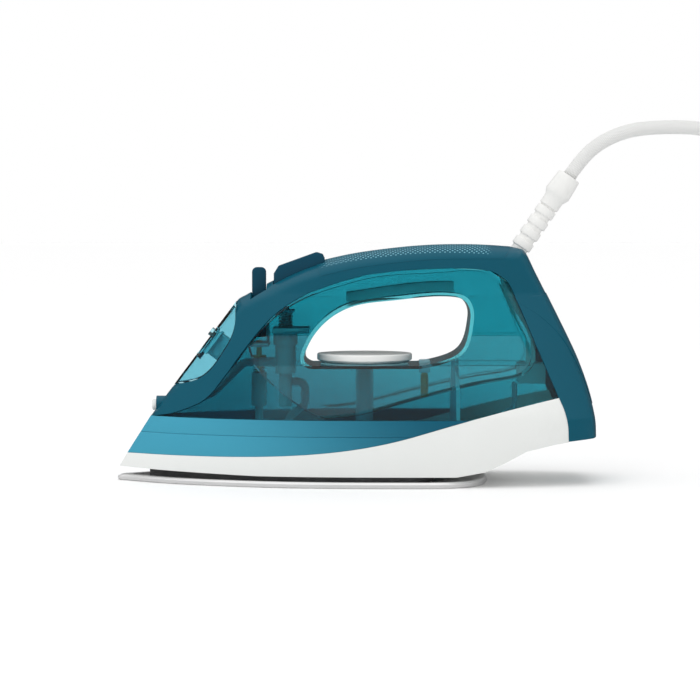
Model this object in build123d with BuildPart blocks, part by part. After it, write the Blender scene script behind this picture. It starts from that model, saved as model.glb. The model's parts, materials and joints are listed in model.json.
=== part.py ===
from build123d import *
from math import atan2, cos, hypot, pi, radians, sin, tan
import os

# Steam iron, lying on its soleplate. Millimetres, +Z up, toe towards -X, heel towards +X.
# The origin is on the resting surface, in the middle of the iron's length and width.

os.makedirs("parts", exist_ok=True)

# ---------------------------------------------------------------- driving dimensions
body_length = 295.0
body_height = 145.5
body_width = 108.0
wall = 2.2
joint_gap = 0.4          # between a moving piece and what stands beside it
slip_gap = 0.6           # round a fixed piece that drops into an opening

sole_length = 228.0
sole_width = 114.0
sole_thickness = 3.6
sole_rim = 1.2
steam_hole = 2.6
steam_hole_rows = 13

casting_margin = 9.0
casting_seat = 2.4
casting_top = 9.0
chamber_wall = 3.0
chamber_top = 18.0
chamber_lid = 1.2
heater_diameter = 8.0

base_seam = 30.3
tank_seam = 40.3
tank_floor = 2.0

dial_x = 5.3
dial_diameter = 58.6
dial_height = 5.4
dial_lift = 1.1
saddle_z = 72.0
spindle_diameter = 6.0
sleeve_diameter = 11.0

pump_x = -43.5
pump_y = 7.7
pump_bore = 9.4
pump_diameter = 12.2
pump_cap_diameter = 14.6
pump_cap_z = 83.6
piston_top_z = 110.0
spring_wire = 0.9
spring_coils = 6

lever_x = -59.8
lever_length = 8.6
lever_thickness = 5.0
lever_pivot_z = 92.0
lever_top_z = 131.5
lever_swing = 20.0
lever_pin_diameter = 3.0
valve_rod_diameter = 3.4
valve_lift = 1.5

door_width = 20.0
door_length = 19.8
door_pin_diameter = 1.6

nozzle_diameter = 6.6
nozzle_z = 46.5
hose_diameter = 5.0

screw_diameter = 3.0
screw_head = 5.6

relief_length = 54.3
relief_diameter = 12.6
relief_flare = 16.4
relief_slots = 4
cord_diameter = 8.5
lead_diameter = 6.4
wire_diameter = 2.2
plug_diameter = 37.0
plug_length = 46.0
pin_diameter = 4.8
pin_length = 19.0
pin_spacing = 19.0

# The outlines below are drawn for an iron this long and this high, and are stretched to the
# driving length and height.
drawn_length = 295.0
drawn_height = 145.5


def along(x):
    return x * body_length / drawn_length


def up(z):
    return z * body_height / drawn_height


def stretch(points):
    return [(along(x), up(z)) for x, z in points]


# ---------------------------------------------------------------- side view outlines (x, z)
nose_line = stretch([(-146, 9), (-141.4, 16.9), (-127, 39.5), (-111.8, 59.7), (-73, 111.3)])
top_line = stretch([(-73, 111.3), (-63.9, 116.6), (-51.4, 123.3), (-22, 135.2), (2.5, 140.5),
                    (34.2, 144.4), (56.2, 145.5), (78.3, 145.2), (100.4, 143.4)])
back_line = stretch([(103.7, 141.6), (116.9, 115.7), (127.9, 93.7), (135.6, 77.1),
                     (141.1, 62.8), (145.6, 46.3), (147.5, 35.2)])
heel_line = stretch([(147.5, 28.6), (146.1, 24.8), (127.8, 26.8), (119.2, 25.6), (101.9, 21.7),
                     (89, 15), (77, 9.6), (60, 6.6), (-60, 6.6)])
cover_edge = stretch([(-126.5, 40.3), (-114.4, 42.2), (-103.4, 45.9), (-94.8, 49.8),
                      (-87.4, 56.2), (-80, 65.7), (-71.7, 77.2), (-61.3, 90.7),
                      (-50.9, 102.1), (-40.5, 109.8), (-30.1, 115.6), (-9.8, 122.7),
                      (6.5, 127.1), (28.3, 129.8), (55.4, 131.2), (81.5, 129.5),
                      (93.3, 121.7), (103.6, 98.1), (113.8, 73.7), (122.4, 53.2)])
cover_back_edge = stretch([(122.4, 53.2), (125.6, 45.3), (127.7, 36.7), (127.9, 20)])
skirt_edge = stretch([(-155, 16.9), (-90, 17.5), (-30, 19.7), (2, 23.4), (30, 29.3),
                      (55, 36.5), (85, 44.6), (122.4, 53.2)])
window_edge = stretch([(-73.5, 120), (-73.5, 100.2), (-74.6, 92.9), (-77, 86.7),
                       (-80.6, 80.6), (-85.6, 73.1), (-90.6, 67.5), (-95.7, 63.9),
                       (-102.3, 61.5), (-111.9, 59.7), (-135, 58.5)])
waist_edge = stretch([(-75.2, 52.5), (-60.5, 47.2), (-39.9, 43.9), (2.3, 45.6),
                      (32.9, 53.7), (54.1, 59), (75.7, 63.7), (91.8, 66.2), (101.7, 69.8),
                      (105.5, 75.1), (101, 93), (94, 111), (87.9, 121.7), (81.5, 127),
                      (55.4, 128.7), (28.3, 127.3), (6.5, 124.6), (-9.8, 120.2),
                      (-30.1, 113.1), (-50.9, 99.6), (-61.3, 88.2), (-71.7, 74.7), (-76.8, 60)])
opening_arch = stretch([(-27, 72), (-31.6, 76), (-30.4, 81.4), (-19.8, 97.1), (-4.1, 107),
                        (21.8, 111.3), (45.1, 113.7), (58.2, 113.7), (65.9, 111.5),
                        (69.4, 106), (69.4, 97.2), (63.7, 80.8), (54, 75.5), (38.5, 72)])

# Height, toe, heel, half width and place of the widest point of the body's plan outlines.
drawn_width = 108.0
plan_levels = [(5, -151, 158, 54.0, 22), (40.3, -131, 158, 51.0, 10),
               (116, -84, 128, 23.0, -20), (152, -58, 112, 18.0, -5)]
# Height and half width of the body inside the side recess.
waist_levels = [(40, 50), (55, 40.5), (72, 30), (90, 22), (113, 17), (160, 16.5)]


def across(y):
    return y * body_width / drawn_width


def parallel(ring, gap):
    """Closed outline drawn clockwise, moved inwards by gap, with mitred corners."""
    moved = []
    for i, (x, z) in enumerate(ring):
        before, after = ring[i - 1], ring[(i + 1) % len(ring)]
        turn_in = atan2(z - before[1], x - before[0])
        turn_out = atan2(after[1] - z, after[0] - x)
        half_turn = ((turn_out - turn_in + pi) % (2 * pi) - pi) / 2
        heading = turn_in + half_turn
        reach = gap / max(cos(half_turn), 0.45)
        moved.append((x + reach * sin(heading), z - reach * cos(heading)))
    return moved


def side_block(*runs, reach=body_width):
    """Solid of a side view outline, made of (Polyline or Spline, points) runs."""
    with BuildPart() as block:
        with BuildSketch(Plane.XZ):
            with BuildLine():
                for kind, points in runs:
                    kind(*points)
            make_face()
        extrude(amount=reach, both=True)
    return block.part


def body_side(inset):
    """The body's side view outline as a solid, moved inwards by inset."""
    ring = parallel(nose_line + top_line[1:] + back_line + heel_line, inset)
    nose_end = len(nose_line)
    top_end = nose_end + len(top_line) - 1
    back_end = top_end + len(back_line)
    return side_block(
        (Polyline, ring[:nose_end]),
        (Spline, ring[nose_end - 1:top_end]),
        (Polyline, ring[top_end - 1:top_end + 1]),
        (Spline, ring[top_end:back_end]),
        (Polyline, ring[back_end - 1:] + ring[:1]),
    )


def half_plan(toe, heel, half, widest, toe_power=2.1, toe_root=1.3, steps=6, heel_steps=5):
    """Half of a pointed plan outline, from the toe round to the heel."""
    points = []
    for i in range(steps + 1):
        u = 1 - cos(i / steps * pi / 2)
        points.append((toe + (widest - toe) * u, -half * (1 - (1 - u) ** toe_power) ** (1 / toe_root)))
    for i in range(1, heel_steps + 1):
        u = sin(i / heel_steps * pi / 2)
        points.append((widest + (heel - widest) * u, -half * max(0, 1 - u ** 4.5) ** (1 / 2.4)))
    return points


def plan_form(inset):
    """The body's plan outlines joined level by level."""
    with BuildPart() as form:
        for z, toe, heel, half, widest in plan_levels:
            with BuildSketch(Plane.XY.offset(up(z))):
                with BuildLine():
                    Spline(*half_plan(along(toe) + 2 * inset, along(heel) - 1.1 * inset,
                                      across(half) - inset, along(widest)),
                           tangents=[(0, -1), (0, 1)], tangent_scalars=[1, 1])
                    mirror(about=Plane.XZ)
                make_face()
        loft(ruled=True)
    return form.part


def waist_form(inset):
    """Block that is as wide as the body is inside the side recess."""
    left = [(across(y) - inset, up(z)) for z, y in waist_levels]
    right = [(-y, z) for y, z in reversed(left)]
    with BuildPart() as form:
        with BuildSketch(Plane.YZ):
            with BuildLine():
                Polyline(*left, *right, close=True)
            make_face()
        extrude(amount=body_length, both=True)
    return form.part


def opening_block(grow):
    ring = parallel(opening_arch, -grow)
    return side_block((Spline, ring), (Polyline, [ring[-1], ring[0]]))


def body_form(inset):
    """The body's outer form, or its hollow when inset is a wall thickness."""
    recess_ring = parallel(waist_edge[::-1], -inset)
    recess = side_block((Spline, recess_ring + recess_ring[:1])) - waist_form(inset)
    return (plan_form(inset) & body_side(inset)) - recess - opening_block(inset)


def save(part, label):
    part.label = label
    export_step(part, f"parts/{label}.step")


# ---------------------------------------------------------------- body forms and regions
outer_form = body_form(0)
hollow_form = body_form(wall)
shell_form = outer_form - hollow_form

toe_x = -body_length / 2
far = body_length
below = -5.0
inner_region = side_block((Polyline, cover_edge), (Polyline, cover_back_edge),
                          (Polyline, [cover_back_edge[-1], (cover_back_edge[-1][0], below),
                                      (-far, below), (-far, up(tank_seam)), cover_edge[0]]))
skirt_region = side_block((Spline, skirt_edge), (Polyline, cover_back_edge),
                          (Polyline, [cover_back_edge[-1], (cover_back_edge[-1][0], below),
                                      (skirt_edge[0][0], below), skirt_edge[0]]))
window_region = side_block((Spline, window_edge[1:-1]),
                           (Polyline, [window_edge[-2], window_edge[-1], (-far, up(120)),
                                       window_edge[0], window_edge[1]]))
under_base = side_block((Polyline, [(-far, below), (far, below), (far, up(base_seam)),
                                    (-far, up(base_seam)), (-far, below)]))
under_tank = side_block((Polyline, [(-far, below), (far, below), (far, up(tank_seam)),
                                    (-far, up(tank_seam)), (-far, below)]))


def sole_plan(margin, tail=sole_length, z=0.0):
    """Soleplate outline, drawn in by margin and cut off at the tail."""
    toe = toe_x + 2.2 * margin
    heel = toe_x + tail - margin
    with BuildSketch(Plane.XY.offset(z)) as plan:
        with BuildLine():
            Spline(*half_plan(toe, heel, sole_width / 2 - margin, along(20), 2.2, 1.2),
                   tangents=[(0, -1), (0, 1)], tangent_scalars=[1, 1])
            mirror(about=Plane.XZ)
        make_face()
    return plan.sketch


# ---------------------------------------------------------------- soleplate group
casting_tail = sole_length - 23
casting_plan = sole_plan(casting_margin, casting_tail, casting_seat)
casting_well = sole_plan(casting_margin - slip_gap, casting_tail + slip_gap)
rim_plans = [sole_plan(sole_rim / 2), sole_plan(0, sole_length, sole_rim / 2),
             sole_plan(0, sole_length, sole_thickness - sole_rim),
             sole_plan(sole_rim, sole_length, sole_thickness)]
pocket_plan = sole_plan(casting_margin / 2, sole_length, casting_seat)
with BuildPart() as soleplate:
    loft(rim_plans, ruled=True)
    add(pocket_plan)
    extrude(amount=sole_thickness, mode=Mode.SUBTRACT)
    for side in (-1, 1):
        for i in range(steam_hole_rows):
            reach = i / (steam_hole_rows - 1)
            spot = (toe_x + 34 + reach * (sole_length - 90), side * (10 + 26 * reach ** 0.7))
            with Locations(spot):
                Hole(steam_hole / 2)
save(soleplate.part, "soleplate")

heater_z = casting_top
heater_y = sole_width * 0.21
heater_end = toe_x + casting_tail - 22
heater_bend = toe_x + 81.5
heater_toe = toe_x + 35.5
with BuildPart() as heating_element:
    with BuildLine() as heater_path:
        FilletPolyline((heater_end, heater_y, heater_z), (heater_bend, heater_y, heater_z),
                       (heater_toe, 0, heater_z), (heater_bend, -heater_y, heater_z),
                       (heater_end, -heater_y, heater_z), radius=[60, 9, 60])
    with BuildSketch(Plane(heater_path.line @ 0, z_dir=heater_path.line % 0)):
        Circle(heater_diameter / 2)
    sweep()
    for side in (-1, 1):
        with BuildSketch(Plane((heater_end, side * heater_y, heater_z), z_dir=(1, 0, 0))):
            Circle(heater_diameter / 4)
        extrude(amount=9)
save(heating_element.part, "heating_element")

chamber_x = -24.0
chamber_length = 100.0
chamber_width = 27.0
boss_diameter = 7.0
boss_spots = [(chamber_x + reach, side * (chamber_width / 2 + 2.0))
              for reach in (-28, 34) for side in (-1, 1)]
with BuildPart() as sole_casting:
    add(casting_plan)
    extrude(amount=casting_top - casting_seat)
    with BuildSketch(Plane.XY.offset(casting_top)):
        with Locations((chamber_x, 0)):
            SlotOverall(chamber_length, chamber_width)
        with Locations(boss_spots):
            Circle(boss_diameter / 2)
    extrude(amount=chamber_top - casting_top)
    with BuildSketch(Plane.XY.offset(casting_top)):
        with Locations((chamber_x, 0)):
            SlotOverall(chamber_length - 2 * chamber_wall, chamber_width - 2 * chamber_wall)
    extrude(amount=chamber_top, mode=Mode.SUBTRACT)
    add(heating_element.part, mode=Mode.SUBTRACT)
    with BuildSketch(Plane.XY.offset(heater_z - heater_diameter / 2)):
        with Locations((heater_end + 10, heater_y), (heater_end + 10, -heater_y)):
            Rectangle(20, heater_diameter)
    extrude(amount=heater_diameter, mode=Mode.SUBTRACT)
    with BuildSketch(Plane.XY.offset(chamber_top)):
        with Locations(boss_spots):
            Circle(screw_diameter / 2)
    extrude(amount=-7, mode=Mode.SUBTRACT)
save(sole_casting.part, "sole_casting")

valve_x = lever_x
lid_top = chamber_top + chamber_lid
with BuildPart() as chamber_lid_plate:
    with BuildSketch(Plane.XY.offset(chamber_top)):
        with Locations((chamber_x, 0)):
            SlotOverall(chamber_length, chamber_width)
        with Locations(boss_spots):
            Circle(boss_diameter / 2)
        with Locations(boss_spots):
            Circle(screw_diameter / 2, mode=Mode.SUBTRACT)
        with Locations((valve_x, 0)):
            Circle(hose_diameter / 2, mode=Mode.SUBTRACT)
    extrude(amount=chamber_lid)
save(chamber_lid_plate.part, "chamber_lid")

with BuildPart() as chamber_screws:
    with BuildSketch(Plane.XY.offset(lid_top)):
        with Locations(boss_spots):
            Circle(screw_head / 2)
    extrude(amount=1.8)
    with BuildSketch(Plane.XY.offset(lid_top)):
        with Locations(boss_spots):
            Circle(screw_diameter / 2)
    extrude(amount=-6)
save(chamber_screws.part, "chamber_screws")

thermostat_top = up(base_seam) - 2.0
with BuildPart() as thermostat:
    with BuildSketch(Plane.XY.offset(lid_top)):
        with Locations((dial_x, 0)):
            Circle(10)
    extrude(amount=2.4)
    with BuildSketch(Plane.XY.offset(lid_top + 2.4)):
        with Locations((dial_x, 0)):
            Circle(6.5)
    extrude(amount=thermostat_top - lid_top - 2.4)
    with BuildSketch(Plane.XY.offset(lid_top + 4.2)):
        with Locations((dial_x + 13, 0)):
            Rectangle(17, 6)
    extrude(amount=0.8)
save(thermostat.part, "thermostat")

fuse_x = chamber_x - 8
with BuildPart() as thermal_fuse:
    with BuildSketch(Plane.YZ.offset(fuse_x)):
        with Locations((0, lid_top + 2.0)):
            Circle(2.0)
    extrude(amount=12)
    with BuildSketch(Plane.YZ.offset(fuse_x - 5)):
        with Locations((0, lid_top + 2.0)):
            Circle(0.7)
    extrude(amount=22)
save(thermal_fuse.part, "thermal_fuse")

# ---------------------------------------------------------------- dial group
saddle_under = up(saddle_z) - wall
dial_bottom = up(saddle_z) + dial_lift
dial_top = dial_bottom + dial_height
sleeve_bore = spindle_diameter + 2 * slip_gap
with BuildPart() as dial:
    with BuildSketch(Plane.XY.offset(dial_bottom)):
        with Locations((dial_x, 0)):
            Circle(dial_diameter / 2)
    extrude(amount=dial_height)
    fillet(dial.edges().group_by(Axis.Z)[-1], 1.0)
    chamfer(dial.edges().group_by(Axis.Z)[0], 1.6, 2.6)
    with BuildSketch(Plane.XY.offset(dial_bottom)):
        with Locations((dial_x, 0)):
            Circle(dial_diameter / 2 - 9)
            Circle(5.5, mode=Mode.SUBTRACT)
    extrude(amount=dial_height - 2.2, mode=Mode.SUBTRACT)
    with BuildSketch(Plane.XY.offset(dial_bottom)):
        with Locations((dial_x, 0)):
            Circle(spindle_diameter / 2)
    extrude(amount=dial_height - 2.2, mode=Mode.SUBTRACT)
save(dial.part, "dial")

with BuildPart() as dial_spindle:
    with BuildSketch(Plane.XY.offset(thermostat_top + joint_gap)):
        with Locations((dial_x, 0)):
            Circle(spindle_diameter / 2)
    extrude(amount=dial_top - 2.2 - thermostat_top - joint_gap)
save(dial_spindle.part, "dial_spindle")

with BuildPart() as dial_collar:
    with BuildSketch(Plane.XY.offset(up(saddle_z))):
        with Locations((dial_x, 0)):
            Circle(dial_diameter / 2 - 1.8)
            Circle(dial_diameter / 2 - 7.5, mode=Mode.SUBTRACT)
    extrude(amount=dial_lift - 0.35)
save(dial_collar.part, "dial_collar")

with BuildPart() as spindle_sleeve:
    with BuildSketch(Plane.XY.offset(up(base_seam))):
        with Locations((dial_x, 0)):
            Circle(sleeve_diameter / 2)
            Circle(sleeve_bore / 2, mode=Mode.SUBTRACT)
    extrude(amount=saddle_under - up(base_seam))
save(spindle_sleeve.part, "spindle_sleeve")

# ---------------------------------------------------------------- body shells
tank_back = along(60.0)
well_reach = up(14.0)
with BuildPart() as skirt:
    add(shell_form)
    add(skirt_region, mode=Mode.INTERSECT)
    add(casting_well)
    extrude(amount=well_reach, mode=Mode.SUBTRACT)
save(skirt.part, "skirt")

with BuildPart() as trim_band:
    add(shell_form)
    add(inner_region, mode=Mode.INTERSECT)
    add(under_base, mode=Mode.INTERSECT)
    add(skirt_region, mode=Mode.SUBTRACT)
save(trim_band.part, "trim_band")

with BuildPart() as tank_base:
    add(shell_form)
    add(inner_region, mode=Mode.INTERSECT)
    add(under_tank, mode=Mode.INTERSECT)
    add(under_base, mode=Mode.SUBTRACT)
    add(skirt_region, mode=Mode.SUBTRACT)
save(tank_base.part, "tank_base")

with BuildPart() as tank_floor_plate:
    with BuildSketch(Plane.XY.offset(up(base_seam))):
        with Locations(((tank_back + wall - far) / 2, 0)):
            Rectangle(tank_back + wall + far, 2 * body_width)
    extrude(amount=tank_floor)
    add(hollow_form, mode=Mode.INTERSECT)
    with Locations((dial_x, 0, up(base_seam) + tank_floor)):
        Hole(sleeve_diameter / 2)
    with Locations((valve_x, 0, up(base_seam) + tank_floor)):
        Hole(hose_diameter / 2)
save(tank_floor_plate.part, "tank_floor")

facet_foot, facet_head = nose_line[-2], nose_line[-1]
facet_run = hypot(facet_head[0] - facet_foot[0], facet_head[1] - facet_foot[1])
facet_x = (facet_head[0] - facet_foot[0]) / facet_run
facet_z = (facet_head[1] - facet_foot[1]) / facet_run
# Local x runs up the sloping front face, local y across it and local z out of it.
facet = Plane(origin=(facet_foot[0], 0, facet_foot[1]), x_dir=(facet_x, 0, facet_z),
              z_dir=(-facet_z, 0, facet_x))
door_foot = facet_run * 0.37
door_middle = door_foot + door_length / 2
knuckle_radius = wall / 2 + 0.2
hinge_point = facet.from_local_coords((door_foot, 0, -wall / 2))
nose_x_at_nozzle = nose_line[2][0] + (up(nozzle_z) - nose_line[2][1]) * facet_x / facet_z
nozzle_collar = nozzle_diameter + 4.4

with BuildPart() as nozzle_bore:
    with BuildSketch(Plane.YZ.offset(nose_x_at_nozzle - 12)):
        with Locations((0, up(nozzle_z))):
            Circle(nozzle_collar / 2)
    extrude(amount=24)

saddle_hole = Pos(dial_x, 0, saddle_under) * Cylinder(sleeve_bore / 2, 4 * wall)
lens_length = 6.7
lens_width = 5.0
lens_x = along(42.3)
lens_top = up(74.6)
lens_bottom = up(66.0)
lens_slot = Pos(lens_x, 0, (lens_top + lens_bottom) / 2) * Box(lens_length, lens_width,
                                                              lens_top - lens_bottom)
with BuildPart() as tank_body:
    add(shell_form)
    add(inner_region, mode=Mode.INTERSECT)
    add(under_tank, mode=Mode.SUBTRACT)
    add(skirt_region, mode=Mode.SUBTRACT)
    add(window_region, mode=Mode.SUBTRACT)
    add(saddle_hole, mode=Mode.SUBTRACT)
    add(lens_slot, mode=Mode.SUBTRACT)
    add(nozzle_bore.part, mode=Mode.SUBTRACT)
save(tank_body.part, "tank_body")

with BuildPart() as tank_partition:
    with BuildSketch(Plane.YZ.offset(tank_back)):
        with Locations((0, up(base_seam) + tank_floor + up(30))):
            Rectangle(2 * body_width, up(60))
    extrude(amount=wall)
    add(hollow_form, mode=Mode.INTERSECT)
save(tank_partition.part, "tank_partition")

door_gap = joint_gap
with BuildPart() as door_opening:
    with BuildSketch(facet.offset(wall * 2)):
        with Locations((door_middle - knuckle_radius / 2, 0)):
            Rectangle(door_length + knuckle_radius + 2 * door_gap, door_width + 2 * door_gap)
    extrude(amount=-wall * 4)
with BuildPart() as fill_door_pin:
    with BuildSketch(Plane(hinge_point - Vector(0, door_width / 2 + 2, 0), z_dir=(0, 1, 0))):
        Circle(door_pin_diameter / 2)
    extrude(amount=door_width + 4)
save(fill_door_pin.part, "fill_door_pin")

with BuildPart() as front_window:
    add(shell_form)
    add(window_region, mode=Mode.INTERSECT)
    add(door_opening.part, mode=Mode.SUBTRACT)
    add(fill_door_pin.part, mode=Mode.SUBTRACT)
save(front_window.part, "front_window")

with BuildPart() as fill_door:
    with BuildSketch(facet.offset(-wall)):
        with Locations((door_middle, 0)):
            Rectangle(door_length, door_width)
    extrude(amount=wall)
    with BuildSketch(facet):
        with Locations((door_middle + door_length / 2 - 4.5, 0)):
            RectangleRounded(5.0, door_width * 0.6, 2.0)
    extrude(amount=2.0)
    with BuildSketch(Plane(hinge_point - Vector(0, door_width / 2, 0), z_dir=(0, 1, 0))):
        Circle(knuckle_radius)
    extrude(amount=door_width)
    with BuildSketch(Plane(hinge_point - Vector(0, door_width / 2, 0), z_dir=(0, 1, 0))):
        Circle(door_pin_diameter / 2 + 0.05)
    extrude(amount=door_width, mode=Mode.SUBTRACT)
save(fill_door.part, "fill_door")

seal_thickness = 1.2
with BuildPart() as fill_door_seal:
    with BuildSketch(facet.offset(-wall)):
        with Locations((door_middle + 1, 0)):
            RectangleRounded(door_length - 6, door_width - 4, 2.5)
            RectangleRounded(door_length - 10, door_width - 8, 1.5, mode=Mode.SUBTRACT)
    extrude(amount=-seal_thickness)
save(fill_door_seal.part, "fill_door_seal")

funnel_top = -wall - seal_thickness - joint_gap
with BuildPart() as fill_funnel:
    with BuildSketch(facet.offset(funnel_top)):
        with Locations((door_middle + 1, 0)):
            Rectangle(door_length - 4, 2 * door_width)
            RectangleRounded(door_length - 8, door_width - 6, 1.5, mode=Mode.SUBTRACT)
    extrude(amount=-1.6)
    with BuildSketch(facet.offset(funnel_top - 1.6)):
        with Locations((door_middle + 1, 0)):
            RectangleRounded(door_length - 5, door_width - 3, 2.5)
            RectangleRounded(door_length - 8, door_width - 6, 1.5, mode=Mode.SUBTRACT)
    extrude(amount=-12)
    add(hollow_form, mode=Mode.INTERSECT)
save(fill_funnel.part, "fill_funnel")

# ---------------------------------------------------------------- spray nozzle and hoses
pump_x_here = along(pump_x)
nozzle_back = nose_x_at_nozzle + 7.5
with BuildPart() as nozzle_housing:
    with BuildSketch(Plane.YZ.offset(nose_x_at_nozzle - 1.6)):
        with Locations((0, up(nozzle_z))):
            Circle(nozzle_collar / 2)
            Circle(nozzle_diameter / 2, mode=Mode.SUBTRACT)
    extrude(amount=9)
save(nozzle_housing.part, "nozzle_housing")

with BuildPart() as spray_nozzle:
    with BuildSketch(Plane.YZ.offset(nose_x_at_nozzle - 4.4)):
        with Locations((0, up(nozzle_z))):
            Circle(nozzle_diameter / 2)
            Circle(0.5, mode=Mode.SUBTRACT)
    extrude(amount=nozzle_back - nose_x_at_nozzle + 4.4)
    chamfer(spray_nozzle.edges().group_by(Axis.X)[0].sort_by(SortBy.LENGTH)[-1], 0.8)
save(spray_nozzle.part, "spray_nozzle")


def tube_along(points, radii, outer, bore=0.0):
    """Round tube along straight runs joined by arcs."""
    with BuildPart() as tube:
        with BuildLine() as path:
            FilletPolyline(*points, radius=radii)
        with BuildSketch(Plane(path.line @ 0, z_dir=path.line % 0)):
            Circle(outer / 2)
            if bore:
                Circle(bore / 2, mode=Mode.SUBTRACT)
        sweep()
    return tube.part


outlet_z = up(73.0)
outlet_end = pump_x_here - pump_diameter / 2 - 10
spray_hose_part = tube_along(
    [(outlet_end, -pump_y, outlet_z), (outlet_end - 9, -pump_y, outlet_z),
     (along(-88), -4, up(54)), (nozzle_back + 9, 0, up(nozzle_z)),
     (nozzle_back, 0, up(nozzle_z))], [8, 14, 8], hose_diameter)
save(spray_hose_part, "spray_hose")

# ---------------------------------------------------------------- pumps and buttons
bracket_z = up(91.0)
bracket_thickness = 3.2
piston_low = up(74.0)
rod_diameter = 4.0
rod_top = up(piston_top_z)
retainer_z = bracket_z + bracket_thickness + 9.5
button_shape = stretch([(-50.4, 117), (-50.4, 127.8), (-47.5, 132.5), (-24.5, 140.8),
                        (-20.6, 139.6), (-19.4, 137), (-19.4, 129.5), (-31, 122.5)])
button_gap = 0.5
button_half = 12.6
button_names = {-1: "spray", 1: "boost"}


def pump_cylinder(side):
    with BuildPart() as cylinder:
        with BuildSketch(Plane.XY.offset(up(45.6))):
            with Locations((pump_x_here, side * pump_y)):
                Circle(3.7)
        extrude(amount=up(66.0) - up(45.6))
        with BuildSketch(Plane.XY.offset(up(66.0))):
            with Locations((pump_x_here, side * pump_y)):
                Circle(pump_diameter / 2)
        extrude(amount=up(pump_cap_z) - up(66.0))
        with BuildSketch(Plane.XY.offset(up(pump_cap_z))):
            with Locations((pump_x_here, side * pump_y)):
                Circle(pump_cap_diameter / 2)
        extrude(amount=bracket_z - up(pump_cap_z))
        with BuildSketch(Plane.XY.offset(up(68.0))):
            with Locations((pump_x_here, side * pump_y)):
                Circle(pump_bore / 2)
        extrude(amount=bracket_z - 2 - up(68.0), mode=Mode.SUBTRACT)
        with BuildSketch(Plane.XY.offset(up(68.0))):
            with Locations((pump_x_here, side * pump_y)):
                Circle(rod_diameter / 2 + joint_gap)
        extrude(amount=bracket_z - up(60), mode=Mode.SUBTRACT)
        if side < 0:
            with BuildSketch(Plane.YZ.offset(outlet_end)):
                with Locations((side * pump_y, outlet_z)):
                    Circle(hose_diameter / 2 + 0.4)
            extrude(amount=pump_x_here - pump_bore / 2 - 0.4 - outlet_end)
    return cylinder.part


def pump_piston(side):
    with BuildPart() as piston:
        with BuildSketch(Plane.XY.offset(piston_low)):
            with Locations((pump_x_here, side * pump_y)):
                Circle(pump_bore / 2 - 0.08)
        extrude(amount=4)
        with BuildSketch(Plane.XY.offset(piston_low)):
            with Locations((pump_x_here, side * pump_y)):
                Circle(rod_diameter / 2)
        extrude(amount=rod_top - piston_low)
        with BuildSketch(Plane.XY.offset(retainer_z)):
            with Locations((pump_x_here, side * pump_y)):
                Circle(5.6)
        extrude(amount=1.6)
    return piston.part


def pump_spring(side):
    height = retainer_z - bracket_z - bracket_thickness - spring_wire - 0.1
    foot = bracket_z + bracket_thickness + spring_wire / 2 + 0.05
    radius = 3.9
    with BuildPart() as spring:
        with BuildLine() as coil:
            Helix(height / spring_coils, height, radius,
                  center=(pump_x_here, side * pump_y, foot))
        with BuildSketch(Plane(coil.line @ 0, z_dir=coil.line % 0)):
            Circle(spring_wire / 2)
        sweep(is_frenet=True)
    return spring.part


def push_button(side):
    low, high = (0.3, button_half) if side > 0 else (-button_half, -0.3)
    with BuildPart() as button:
        with BuildSketch(Plane.XZ.offset(-high)):
            with BuildLine():
                Polyline(*button_shape, close=True)
            make_face()
        extrude(amount=high - low)
        with BuildSketch(Plane.XY.offset(rod_top)):
            with Locations((pump_x_here, side * pump_y)):
                Circle(3.2)
        extrude(amount=up(124) - rod_top)
    return button.part


for side, name in button_names.items():
    save(pump_cylinder(side), f"{name}_pump_cylinder")
    save(pump_piston(side), f"{name}_piston")
    save(pump_spring(side), f"{name}_spring")
    save(push_button(side), f"{name}_button")

boost_hose_part = tube_along(
    [(pump_x_here + 3.7, pump_y, up(60)), (pump_x_here + 12, pump_y, up(60)),
     (pump_x_here + 12, pump_y, up(46)), (pump_x_here + 2, pump_y, up(38)),
     (pump_x_here + 2, pump_y, up(base_seam) + tank_floor)], [5, 6, 4], hose_diameter)
save(boost_hose_part, "boost_hose")

with BuildPart() as pump_bracket:
    with BuildSketch(Plane.XY.offset(bracket_z)):
        with Locations((pump_x_here + 3.5, 0)):
            Rectangle(22, 2 * body_width)
        with Locations((pump_x_here, pump_y), (pump_x_here, -pump_y)):
            Circle(rod_diameter / 2 + joint_gap, mode=Mode.SUBTRACT)
    extrude(amount=bracket_thickness)
    add(hollow_form, mode=Mode.INTERSECT)
save(pump_bracket.part, "pump_bracket")

# ---------------------------------------------------------------- steam lever and valve
lever_x_here = along(lever_x)
pivot_z = up(lever_pivot_z)
lever_half = lever_length / 2
barrel_radius = 4.0
with BuildPart() as steam_lever:
    with BuildSketch(Plane.XZ.offset(-lever_thickness / 2)):
        with Locations((lever_x_here, (pivot_z + up(lever_top_z)) / 2)):
            RectangleRounded(lever_length, up(lever_top_z) - pivot_z, 3.0)
    extrude(amount=lever_thickness)
    with BuildSketch(Plane.YZ.offset(lever_x_here - lever_half)):
        with Locations((0, pivot_z)):
            Circle(barrel_radius)
    extrude(amount=lever_length)
    with BuildSketch(Plane.YZ.offset(lever_x_here - lever_half)):
        with Locations((0, pivot_z)):
            Circle(lever_pin_diameter / 2 + 0.05)
    extrude(amount=lever_length, mode=Mode.SUBTRACT)
save(steam_lever.part, "steam_lever")

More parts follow.
